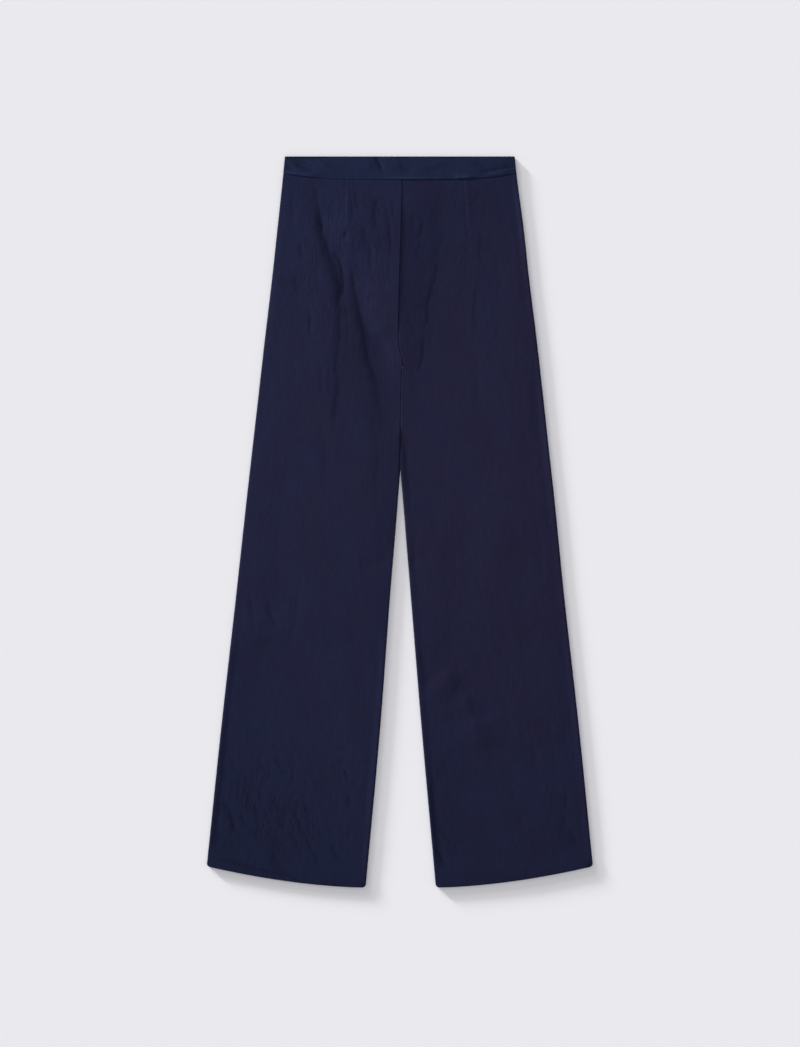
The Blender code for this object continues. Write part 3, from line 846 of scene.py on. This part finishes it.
# %% Dye, wrinkles and shade
# How much the painted shade of a fold darkens the colour.
PAINTED_FOLD_SHADE = 0.72
NODES += [
    # The colour drifts bluer at the left and at both ends, and more purple at the right.
    Node("cloud", "MapRange", ranges(0.32, 0.68, 0.2, 0.8), {"Value": "clouds"}),
    Node("top", "MapRange", ranges(0.3, 0.5, 0.0, -0.32), {"Value": "along"}),
    Node("hems", "MapRange", ranges(-0.5, -0.15, -0.36, 0.0), {"Value": "along"}),
    Node("ends", "Math", {"operation": "MINIMUM"}, {0: "top", 1: "hems"}),
    Node("right", "MapRange", ranges(-0.18, 0.18, -0.2, 0.2), {"Value": "across"}),
    Node("drift", "Math", ADD, {0: "right", 1: "ends"}),
    Node("tint_share", "Math", {"use_clamp": True, **ADD}, {0: "drift", 1: "cloud"}),
    Node("crinkled", "Attribute", {"attribute_name": "crinkled"}, {}, "Fac"),
    Node("strength", "MapRange", ranges(CALM, 1.0, 0.0, 1.0), {"Value": "crinkled"}),
    Node("bunched", "MapRange", ranges(0.42, 0.60, 0.1, 1.0), {"Value": "bunches"}),
    Node("amount", "Math", TIMES, {0: "strength", 1: "bunched"}),
    Node("wrinkled", "Math", TIMES, {0: "wrinkles", 1: "amount"}),
    Node("yarn", "MapRange", ranges(0.3, 0.7, 0.92, 1.08), {"Value": "slubs"}),
    # Painted shade along the wrinkles.
    Node("painted_wrinkle_shade", "MapRange", ranges(0.2, 1.2, 1.0, 0.86), {"Value": "wrinkled"}),
    Node("yarn_tone_and_painted_shade", "Math", TIMES, {0: "yarn", 1: "painted_wrinkle_shade"}),
    Node("fold", "Attribute", {"attribute_name": "fold"}, {}, "Fac"),
    # The fold attribute darkens the colour as painted shade in folds and at edges, and lightens it
    # as a painted highlight on ridges.
    Node("folded", "MapRange", ranges(-1.0, 1.0, 2 - PAINTED_FOLD_SHADE, PAINTED_FOLD_SHADE), {"Value": "fold"}),
    Node("fold_shade", "Math", TIMES, {0: "yarn_tone_and_painted_shade", 1: "folded"}),
    Node("aside", "MapRange", ranges(-0.3, 0.3, -0.06, 0.06), {"Value": "across"}),
    Node("to_corner", "Math", ADD, {0: "along", 1: "aside"}),
    # Painted shade, darker towards the hems and the lower left.
    Node("painted_hem_shade", "MapRange", ranges(-0.60, -0.34, 0.90, 1.0), {"Value": "to_corner"}),
    Node("shade", "Math", TIMES, {0: "fold_shade", 1: "painted_hem_shade"}),
]
print(f"a fold keeps {PAINTED_FOLD_SHADE:.0%} of the colour's brightness")

# %% [markdown]
# The surface has three reliefs, one on the other: the weave, the crepe's grain and the small
# wrinkles. Real yarns stand 0.35 mm apart, which is too fine to show, so the weave is drawn at
# 1.1 mm.

# %% Weave, crepe and wrinkles
WEAVE_PITCH = 1.1
# A wave is an over and an under yarn, two pitches, and scale 1 gives 20 waves in 2 pi units.
WEAVE = {"Scale": math.pi / (20 * WEAVE_PITCH * MM)}
WEAVE_RELIEF = {"Strength": 0.35, "Distance": 0.08 * MM}
CREPE_RELIEF = {"Strength": 0.6, "Distance": 0.45 * MM}
WRINKLE_RELIEF = {"Strength": 1.0, "Distance": 0.25 * MM}
NODES += [
    Node("warp", "TexWave", {"bands_direction": "X", **WEAVE}, {"Vector": "place"}, "Fac"),
    Node("weft", "TexWave", {"bands_direction": "Y", **WEAVE}, {"Vector": "place"}, "Fac"),
    Node("weave", "Math", TIMES, {0: "warp", 1: "weft"}),
    Node("woven", "Bump", WEAVE_RELIEF, {"Height": "weave"}),
    Node("grained", "Bump", CREPE_RELIEF, {"Height": "crepe", "Normal": "woven"}),
    Node("pressed", "MapRange", ranges(0.0, 2.0, 0.0, -2.0), {"Value": "wrinkled"}),
    Node("surface", "Bump", WRINKLE_RELIEF, {"Height": "pressed", "Normal": "grained"}),
]
print(f"a material has {len(NODES)} nodes under its dye")

# %% [markdown]
# Cloth has almost no gloss, so the specular level is far below a smooth plastic's, and a little
# sheen stands for the fine fibres that stick out. The waistband is pressed flat over its
# interfacing, so it is a shade smoother than the legs.

# %% Woven viscose
FINISH = {
    "Specular IOR Level": 0.073,
    "Sheen Weight": 0.02,
    "Sheen Roughness": 0.45,
    "Sheen Tint": linear("#8090D0"),
}


def woven_viscose(name, blue, purple, roughness):
    """A navy viscose weave drifting from a bluer to a more purple navy, with painted shade and
    highlights.
    """
    material = bpy.data.materials.new(name)
    material.use_nodes = True
    tree = material.node_tree
    made = {}
    colours = {"data_type": "RGBA", 6: linear(blue), 7: linear(purple)}
    mixed = Node("mixed", "Mix", colours, {0: "tint_share"}, 2)
    # The colour, with the painted shade and highlights in its value.
    colour_with_painted_shade = Node("colour_with_painted_shade", "HueSaturation", {}, {"Color": "mixed", "Value": "shade"})
    for node in (*NODES, mixed, colour_with_painted_shade):
        add_node(tree, node, made)
    shader = tree.nodes["Principled BSDF"]
    tree.links.new(made["colour_with_painted_shade"], shader.inputs["Base Color"])
    tree.links.new(made["surface"], shader.inputs["Normal"])
    shader.inputs["Roughness"].default_value = roughness
    for setting, value in FINISH.items():
        shader.inputs[setting].default_value = value
    return material


leg_cloth = woven_viscose("navy_woven_viscose", "#141931", "#16152B", 0.80)
band_cloth = woven_viscose("navy_waistband_viscose", "#121B34", "#11182D", 0.74)
print("materials:", leg_cloth.name, band_cloth.name)

# %% [markdown]
# ## Darts
#
# A dart takes in the waist. It is a pleat sewn shut on the inside: outside it shows as a thin
# furrow that fades out, with a soft rise beside it where the pleat lies underneath, and a small
# dimple where the stitching ends.

# %% Darts
Dart = namedtuple("Dart", "x0 x1 drop0 drop1")
DARTS = {"left": Dart(-81.7, -81.2, 30, 117), "right": Dart(95.6, 101.5, 30, 117)}
DART_FURROW = {"left": 0.30, "right": 0.35}
DART_HALF_WIDTH = 1.1
DART_FADES = (1.0, 0.75)
PLEAT_RISE = 0.25
PLEAT_AWAY = 4.5
PLEAT_REACH = 4.0
DART_DIMPLE = {"left": 1.0, "right": 0.5}
DIMPLE_REACH = 2.6
DIMPLE_STRETCH = 1.5


def dart_relief(side, x, drop):
    """What a dart adds: its furrow, the soft rise beside it, and the dimple at its tip with painted
    shade.
    """
    dart = DARTS[side]
    share = (drop - dart.drop0) / (dart.drop1 - dart.drop0)
    away = x - (dart.x0 + (dart.x1 - dart.x0) * share)
    strength = smooth_step(*DART_FADES, share)
    furrow = -DART_FURROW[side] * strength * bell(away, DART_HALF_WIDTH)
    beside = PLEAT_RISE * strength * bell(away - PLEAT_AWAY, PLEAT_REACH)
    from_tip = np.hypot(x - dart.x1, (drop - dart.drop1) / DIMPLE_STRETCH)
    dimple = DART_DIMPLE[side] * bell(from_tip, DIMPLE_REACH)
    # The dimple also gets painted shade in the colour.
    return Relief(furrow + beside - dimple, dimple)


print("darts end", [f"{dart.drop1} mm down" for dart in DARTS.values()])

# %% [markdown]
# ## The plan of a leg piece
#
# Each leg piece is tucked under the waistband at the top and turned up at the hem. The waist seam
# is curved and the sides lean, so where a column meets it is found in a few rounds. The hem's
# corners are rounded a little, and the turned-up part is drawn in from the seams, as a maker
# trims it, so that it stays inside the fold.

# %% The plan of a leg piece
TUCK = 6.0
WAIST_ROUNDS = 6
LEG_WIDTH = 210
FOLD_RADIUS = 0.8
TURN_INSET = 2.2
TURN_ROWS = 6


def waist_across(edges, across):
    """Drop of the waist seam at shares of the way between two edges, and the edges' x there."""
    drop = np.full(len(across), BAND_HEIGHT)
    for _ in range(WAIST_ROUNDS):
        first, last = edges(drop)
        drop = waist_seam(first + (last - first) * across)
    return drop, first, last


def leg_plan(side, column, row, rows, columns):
    """x, drop and the angle round the hem of each point of a leg piece."""
    across = packed_columns(columns, LEG_WIDTH)[column]
    top = waist_across(partial(leg_edges, side), across)[0] - TUCK
    inner, outer = leg_edges(side, np.full(len(across), LENGTH))
    from_corner = np.minimum(across, 1 - across) * np.abs(outer - inner)
    corner = np.clip(HEM_CORNER - from_corner, 0, HEM_CORNER)
    bottom = hem_line(across) - HEM_CORNER + np.sqrt(HEM_CORNER**2 - corner**2)
    turn = rows.turn[row]
    drop = top + (bottom - FOLD_RADIUS - top) * rows.share[row]
    drop = drop + FOLD_RADIUS * np.sin(turn) - rows.back[row]
    inner, outer = leg_edges(side, drop)
    inset = TURN_INSET * (turn / math.pi) / np.abs(outer - inner)
    return inner + (outer - inner) * (inset + (1 - 2 * inset) * across), drop, turn


print(f"a leg piece starts {TUCK:.0f} mm under the waistband")

# %% [markdown]
# ## The back pieces
#
# A back piece has the form from above with its dart added. Round the hem's fold the cloth goes
# down by twice the fold's radius, and the turned-up part lies under the face.

# %% The back pieces
COLUMNS = 132
LONG_ROWS = 350


def back_leg(side):
    """A back piece with its dart, creases and turned-up hem."""
    rows = hem_rows(LONG_ROWS, TURN_ROWS, HEM_TURN)
    shape, column, row = grid_of_cloth(COLUMNS, len(rows.share) - 1)
    x, drop, turn = leg_plan(side, column, row, rows, COLUMNS)
    form, dart = back_form(side, x, drop), dart_relief(side, x, drop)
    height = form.height + dart.height - FOLD_RADIUS * (1 - np.cos(turn))
    relief = Relief(height, np.maximum(form.fold, dart.fold))
    thin = corner_share(side, x, drop)
    piece = finish_shell(f"back_{side}_cloth", shape, x, drop, relief, leg_cloth, True, thin=thin)
    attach(piece, "root")
    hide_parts(f"back_{side}_leg")
    return piece


back_legs = {side: back_leg(side) for side in ("left", "right")}

# %% [markdown]
# ## The front pieces
#
# The front pieces lie underneath, flat on the surface, so they stay plain. Between the places
# that touch, the cloth stands off a little in long soft hollows, as thin cloth does. At the
# edges they turn up to meet the back pieces in the side seams and the inner-leg seams. By the
# seat the front pieces lie a little to the right, so that the two layers' seams don't coincide.

# %% Creases of the front pieces
FRONT_CREASES = {
    "left": (
        Crease(-150, 60, -104, 150, -60, 262, 8, 10, -1.0),
        Crease(-112, 52, -78, 140, -22, 292, 7, 9, -1.1),
        Crease(-60, 70, -40, 170, -14, 300, 5, 7, -0.8),
        Crease(-14, 330, -50, 400, -120, 480, 8, 9, -0.9),
        Crease(-170, 300, -160, 380, -156, 470, 6, 8, -0.6),
        Crease(-200, 598, -120, 606, -30, 600, 6, 6, -0.8),
        Crease(-214, 720, -190, 800, -150, 880, 8, 10, -0.9),
        Crease(-96, 760, -110, 850, -100, 930, 7, 8, -0.7),
        Crease(-236, 930, -214, 980, -200, 1030, 6, 7, -0.9),
        Crease(-130, 960, -120, 1000, -96, 1036, 5, 6, -0.8),
    ),
    "right": (
        Crease(152, 64, 112, 160, 58, 270, 8, 10, -1.0),
        Crease(106, 56, 70, 160, 20, 296, 7, 9, -1.0),
        Crease(48, 80, 34, 180, 12, 300, 5, 6, -0.7),
        Crease(16, 330, 60, 410, 116, 476, 8, 9, -0.9),
        Crease(176, 280, 168, 370, 160, 470, 6, 8, -0.6),
        Crease(34, 602, 110, 596, 190, 606, 6, 6, -0.8),
        Crease(210, 700, 186, 800, 160, 900, 8, 10, -0.9),
        Crease(76, 780, 100, 860, 96, 950, 7, 8, -0.7),
        Crease(240, 920, 220, 980, 204, 1030, 6, 7, -0.9),
        Crease(112, 970, 128, 1010, 150, 1044, 5, 6, -0.8),
    ),
}
print("front creases:", {side: len(rows) for side, rows in FRONT_CREASES.items()})

# %% The front pieces
FRONT_COLUMNS = 56
FRONT_ROWS = 210
HOLLOW_SIZE = (34.0, 150.0)
HOLLOW_SHIFT, HOLLOW_SLICE = 7.3, 5.1
FINE_HOLLOW_SIZE = (11.0, 60.0)
FINE_SHARE, FINE_SLICE = 0.3, 9.4
HOLLOW_FROM, HOLLOW_MOST = 0.05, 0.7
HOLLOW = 1.3
MOST_OFF = 1.1
CALM_AT_EDGE = (2, 14)
CALM_AT_WAIST = (2, 40)
CALM_AT_HEM = (HEM_TURN, HEM_TURN + 50)
FRONT_SEAM_TURN = (0.9, 0.4)
FRONT_TUCKED = 0.7
FRONT_FOLD = 0.65
SEAM_SHIFT = 1.2
SHIFT_REACH = 12
SHIFT_ENDS = (CROTCH + 200, CROTCH + 150)


def front_form(side, x, drop):
    """Height of the outer face of a front piece, which is its lower one, and its painted fold tone.
    """
    inner, outer = leg_edges(side, drop)
    from_inner, from_side = np.abs(x - inner), np.abs(outer - x)
    from_waist = drop - waist_seam(x)
    across, along = x / HOLLOW_SIZE[0] + HOLLOW_SHIFT, drop / HOLLOW_SIZE[1]
    waves = noise_at(across, along, HOLLOW_SLICE)
    across, along = x / FINE_HOLLOW_SIZE[0], drop / FINE_HOLLOW_SIZE[1]
    waves = waves + FINE_SHARE * noise_at(across, along, FINE_SLICE)
    creases = crease_relief(FRONT_CREASES[side], x, drop)
    hollows = np.clip(waves - HOLLOW_FROM, 0, HOLLOW_MOST) * HOLLOW
    off_table = np.clip(hollows - creases.height, 0, MOST_OFF)
    calm = smooth_step(*CALM_AT_EDGE, np.minimum(from_inner, from_side))
    calm = calm * smooth_step(*CALM_AT_WAIST, from_waist)
    calm = calm * smooth_step(*CALM_AT_HEM, LENGTH - HEM_RISE - drop)
    parted = smooth_step(PARTS_FROM, PARTS_BY, drop)
    roll = -turned_edge(from_side, *EDGE_TURN) - turned_edge(from_inner, *EDGE_TURN) * parted
    roll = roll - turned_edge(from_inner, *FRONT_SEAM_TURN) * (1 - parted)
    tucked = FRONT_TUCKED * smooth_step(*TUCK_REACH, from_waist)
    face = (off_table * calm + roll + tucked) * (1 - corner_share(side, x, drop))
    # The creases' fold lines are painted shade.
    return Relief(face, creases.fold)


def front_leg(side):
    """A front piece, with its hem turned up on the inside, which is its upper face."""
    rows = hem_rows(FRONT_ROWS, TURN_ROWS, HEM_TURN)
    shape, column, row = grid_of_cloth(FRONT_COLUMNS, len(rows.share) - 1)
    x, drop, turn = leg_plan(side, column, row, rows, FRONT_COLUMNS)
    form = front_form(side, x, drop)
    relief = Relief(form.height + FRONT_FOLD * (1 - np.cos(turn)), form.fold)
    thin = corner_share(side, x, drop)
    from_inner = np.abs(x - leg_edges(side, drop)[0])
    x = x + SEAM_SHIFT * np.exp(-from_inner / SHIFT_REACH) * smooth_step(*SHIFT_ENDS, drop)
    piece = finish_shell(f"front_{side}_cloth", shape, x, drop, relief, leg_cloth, False, thin=thin)
    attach(piece, "root")
    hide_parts(f"front_{side}_leg")
    return piece


front_legs = {side: front_leg(side) for side in ("left", "right")}

# %% [markdown]
# ## The waistband
#
# A waistband is a long strip folded along its top edge. Its outer half is sewn to the trouser
# pieces, whose raw edges it hides, and its inner half is turned down inside. It is interfaced, so
# it is stiffer than the legs: the fold is round, the face is full, and it ripples only slightly.
# The back half lies on the front half.

# %% Creases of the waistband
BAND_CREASES = (
    Crease(-170, 0, -156, 5, -134, 14, 2.5, 5, -2.25),
    Crease(-158, 9, -144, 17, -128, 22, 3, 5, -1.2),
    Crease(-172, 14, -166, 17, -158, 22, 3, 4, -1.05),
    Crease(-174, 2, -142, 3, -108, 2, 2.5, 2.5, -1.2),
    Crease(-122, 6, -112, 14, -98, 20, 7, 6, 0.75),
    Crease(-62, 12, -48, 14, -36, 10, 6, 6, 0.6),
    Crease(-36, 0, -32, 9, -25, 23, 2.6, 5, -1.4),
    Crease(-8, 4, -4, 10, 4, 14, 4, 5, 0.6),
    Crease(0, 16, 8, 20, 20, 21, 3.5, 4, -0.75),
    Crease(-6, 1, 4, 2, 14, 1.5, 2.5, 2.5, -0.75),
    Crease(26, 18, 50, 12, 82, 3, 4.5, 4.5, 0.52),
    Crease(36, 22, 62, 18, 94, 12, 3.5, 4, -0.3),
    Crease(60, 1, 84, 2, 108, 1.5, 2.5, 2.5, -0.75),
    Crease(112, 8, 124, 14, 132, 22, 4, 5, -0.52),
    Crease(116, 24, 144, 20, 174, 15, 3, 3.5, -1.1),
    Crease(140, 25, 158, 22, 174, 19, 2.5, 2.5, 0.52),
    # The seam allowance inside makes a low ridge just above the seam, with a painted highlight on
    # it.
    Crease(-174, 23.6, -148, 27.6, -120, 30.4, 3, 3, 2.0),
    Crease(-40, 33.4, 16, 33.6, 78, 33.0, 2.4, 2.4, 1.6),
    Crease(82, 31.4, 97, 31.6, 114, 30.4, 3.4, 3.4, 2.4),
    Crease(128, 28.4, 144, 27.2, 164, 25.0, 2.4, 2.4, 0.9),
)
print(f"waistband: {len(BAND_CREASES)} creases")

# %% The plan of a waistband half
BAND_COLUMNS = 220
BAND_ROWS = 34
FOLD_CELLS = 8
BAND_WALL = 1.8
# Rows stand closer at the seam and at the fold by the first share, and are even by the other.
ROUND_SHARE, EVEN_SHARE = 0.35, 0.65
BandPlan = namedtuple("BandPlan", "x drop turn seam from_end")


def band_plan(column, row):
    """Where each point of a waistband half lies, from its seam round the fold and back."""
    across = packed_columns(BAND_COLUMNS, 2 * HALF_WAIST)[column]
    radius = BAND_WALL / 2
    down = np.clip(1 - row / BAND_ROWS, 0, 1)
    down = down + np.clip((row - BAND_ROWS - FOLD_CELLS) / BAND_ROWS, 0, 1)
    turn = math.pi * np.clip((row - BAND_ROWS) / FOLD_CELLS, 0, 1)
    crowded = 0.5 * np.cos(math.pi * np.clip(down, 0, 1)) * ROUND_SHARE
    down = 0.5 - crowded - 0.5 * (1 - 2 * down) * EVEN_SHARE

    left, right = band_edges(np.zeros(len(across)))
    seam, seam_left, seam_right = waist_across(band_edges, across)
    seam = seam - SEAM_GAP / 2
    drop = radius + (seam - radius) * down - radius * np.sin(turn)
    slant = np.clip(drop / seam, 0, 1)
    left, right = left + (seam_left - left) * slant, right + (seam_right - right) * slant
    x = left + (right - left) * across
    return BandPlan(x, drop, turn, seam, np.minimum(x - left, right - x))


print(f"a waistband half is {2 * HALF_WAIST:.0f} mm long and {BAND_WALL} mm thick")

# %% The two halves of the waistband
BAND_CLOTH = 0.5
BAND_SWELL = 0.8
SWELL_REACH = 8.0
END_REACH = 20.0
RIPPLE_SHARE = 0.5
RIPPLE_ACROSS, RIPPLE_DOWN = 0.8, 2.2
RIPPLES_FROM = 1.4
LEAST_SWELL, MOST_SWELL = -0.5, 2.6
BAND_SEAM_TURN = (1.2, 0.6)
BAND_END_TURN = (1.4, 1.0)
CLOSED_BELOW = 0.4
BAND_RIM = 1.4


def band_face(plan, fullness):
    """How far a waistband half's face swells at each point, and its painted fold tone."""
    from_fold = np.minimum(plan.drop, plan.seam - plan.drop)
    swell = np.sqrt(np.clip(from_fold / SWELL_REACH, 0, 1))
    swell = swell * np.clip(plan.from_end / END_REACH, 0, 1)
    creases = crease_relief(BAND_CREASES, plan.x, plan.drop)
    ripple = crinkle(plan.x * RIPPLE_ACROSS, plan.drop * RIPPLE_DOWN) * RIPPLE_SHARE
    ripple = (ripple + creases.height) * (fullness > 0)
    swell = fullness * swell + ripple * np.clip(from_fold / RIPPLES_FROM, 0, 1)
    # Painted shade along the waistband's top edge and its ends.
    painted_rim_shade = EDGE_PAINTED_SHADE * bell(np.minimum(plan.drop, plan.from_end), BAND_RIM)
    fold = creases.fold * (plan.turn == 0) * (fullness > 0) + painted_rim_shade
    return Relief(np.clip(swell, LEAST_SWELL, MOST_SWELL), fold)


def band_half(name, base, fullness, outer_up):
    """Half of the waistband: its outer face, the fold at its top, and its inner facing.

    base is the height of its lower face, and fullness how far its outer face swells.
    """
    shape, column, row = grid_of_cloth(BAND_COLUMNS, 2 * BAND_ROWS + FOLD_CELLS)
    plan = band_plan(column, row)
    face = band_face(plan, fullness)
    radius = BAND_WALL / 2
    outside = plan.turn == 0
    outer_face = radius + face.height + turned_edge(plan.seam - plan.drop, *BAND_SEAM_TURN)
    lift = np.where(outside, outer_face, radius * np.cos(plan.turn))
    closing = -turned_edge(plan.from_end, *BAND_END_TURN)
    height = base + radius + (lift if outer_up else -lift)
    height = height + (1 - 2 * outer_up) * closing * np.clip(lift / radius + CLOSED_BELOW, 0, 1)
    relief = Relief(height, face.fold)
    x, drop = plan.x, plan.drop
    piece = finish_shell(name, shape, x, drop, relief, band_cloth, outer_up, BAND_CLOTH)
    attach(piece, "root")
    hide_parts(name.replace("_half", "_waistband"))
    return piece


front_band = band_half("front_half", 0.0, 0.0, outer_up=False)
back_band = band_half("back_half", BAND_WALL + SEAM_GAP, BAND_SWELL, outer_up=True)

# %% [markdown]
# ## How the pieces lie
#
# The back pieces rest on the front ones, and those on the floor.


# %% [markdown]
# ## The surface
#
# The pants lie on a plain pale sheet, matt and nearly white. It is far wider than the view, so
# its edge never shows, and a hair below the cloth, so the two don't share a plane.

# %% Floor
FLOOR_SIZE = 12.0
FLOOR_BELOW = 0.0002


def pale_surface():
    """A matt, nearly white surface."""
    material = bpy.data.materials.new("pale_matt_surface")
    material.use_nodes = True
    shader = material.node_tree.nodes["Principled BSDF"]
    shader.inputs["Base Color"].default_value = linear("#E6E5E8")
    shader.inputs["Roughness"].default_value = 0.9
    shader.inputs["Specular IOR Level"].default_value = 0.1
    return material


shape = bmesh.new()
bmesh.ops.create_grid(shape, x_segments=1, y_segments=1, size=FLOOR_SIZE / 2)
mesh = bpy.data.meshes.new("floor")
shape.to_mesh(mesh)
shape.free()
floor = bpy.data.objects.new("floor", mesh)
bpy.context.scene.collection.objects.link(floor)
floor.location.z = -FLOOR_BELOW
floor.data.materials.append(pale_surface())
print(f"floor {FLOOR_SIZE:.0f} m wide")

# %% [markdown]
# ## The light
#
# A studio lights dark cloth and a pale sheet apart: the sheet by two low lamps from the upper
# left, which give it its soft shadows, and the cloth by one from further to the left, so low that
# the creases show. Light linking does that here, and each lamp names what it lights. A lamp's
# width is how wide it looks in degrees, and a wide one has soft shadows. A weak lamp overhead and
# an even light from all round fill in.

# %% Lamps
Sun = namedtuple("Sun", "name lights azimuth elevation width strength")
SUNS = (
    Sun("surface_low_lamp", "floor", 45, 6, 5, 7.4),
    Sun("surface_high_lamp", "floor", 30, 11, 14, 2.5),
    Sun("cloth_lamp", "cloth", 72, 11, 12, 7.1),
    Sun("overhead_lamp", "all", 0, 90, 50, 0.38),
)

lit = {name: bpy.data.collections.new(f"{name}_only") for name in ("floor", "cloth")}
lit["floor"].objects.link(floor)
for piece in (*back_legs.values(), *front_legs.values(), front_band, back_band):
    lit["cloth"].objects.link(piece)


def add_lamp(name, kind, lights):
    """A lamp that lights the surface, the cloth or all of it."""
    lamp = bpy.data.objects.new(name, bpy.data.lights.new(name, kind))
    bpy.context.scene.collection.objects.link(lamp)
    if lights in lit:
        lamp.light_linking.receiver_collection = lit[lights]
    return lamp


for row in SUNS:
    lamp = add_lamp(row.name, "SUN", row.lights)
    lamp.data.energy = row.strength
    lamp.data.angle = math.radians(row.width)
    rise, turned = math.radians(row.elevation), math.radians(row.azimuth)
    level = math.cos(rise)
    towards = Vector((-level * math.sin(turned), level * math.cos(turned), math.sin(rise)))
    lamp.rotation_euler = towards.to_track_quat("Z", "Y").to_euler()
print("lamps:", [row.name for row in SUNS])

# %% Even light
DOME_STRENGTH = 0.54

world = bpy.data.worlds.new("studio")
world.use_nodes = True
world.node_tree.nodes["Background"].inputs["Color"].default_value = linear("#FBFBFF")
world.node_tree.nodes["Background"].inputs["Strength"].default_value = DOME_STRENGTH
bpy.context.scene.world = world
bpy.context.scene.view_settings.view_transform = "Standard"
print(f"even light {DOME_STRENGTH}")

# %% [markdown]
# Two wide, soft spots high above the cloth brighten the seat a little: one over the left hip in a
# nearly white light, and one over the middle in a warm light, where the navy looks more purple.

# %% Two spots on the cloth
Spot = namedtuple("Spot", "name place cone watts colour")
SPOTS = (
    Spot("cool_spot", (-0.27, 0.26, 2.5), 38, 49, (1.0, 0.96, 1.0)),
    Spot("warm_spot", (0.05, 0.08, 2.5), 32, 49, (1.0, 0.44, 0.40)),
)
SPOT_EDGE = 1.0
SPOT_SIZE = 0.3

for row in SPOTS:
    spot = add_lamp(row.name, "SPOT", "cloth")
    spot.data.energy = row.watts
    spot.data.color = row.colour
    spot.data.spot_size = math.radians(row.cone)
    spot.data.spot_blend = SPOT_EDGE
    spot.data.shadow_soft_size = SPOT_SIZE
    spot.location = row.place
print("spots:", [row.name for row in SPOTS])

# %% [markdown]
# ## The camera
#
# The camera looks straight down. A long lens, high above, sees the garment with hardly any
# perspective. The frame is taller than wide, so the sensor's size goes with its height, and the
# camera's height follows from how much cloth and surface the frame takes in.

# %% Camera
LENS = 85
SENSOR = 36
FRAME_HEIGHT = 1.5677
CAMERA_X = 0.0004
CAMERA_Y = -0.00225
CLOTH_LEVEL = 0.004

camera = bpy.data.objects.new("camera", bpy.data.cameras.new("camera"))
camera.data.lens = LENS
camera.data.sensor_width = SENSOR
camera.location = (CAMERA_X, CAMERA_Y, CLOTH_LEVEL + FRAME_HEIGHT * LENS / SENSOR)
camera.rotation_euler = (0, 0, 0)
bpy.context.scene.collection.objects.link(camera)
bpy.context.scene.camera = camera
print(f"camera {camera.location.z:.2f} m above the surface")

# %% Sizes, and the last step
print("solids:", cad_box)
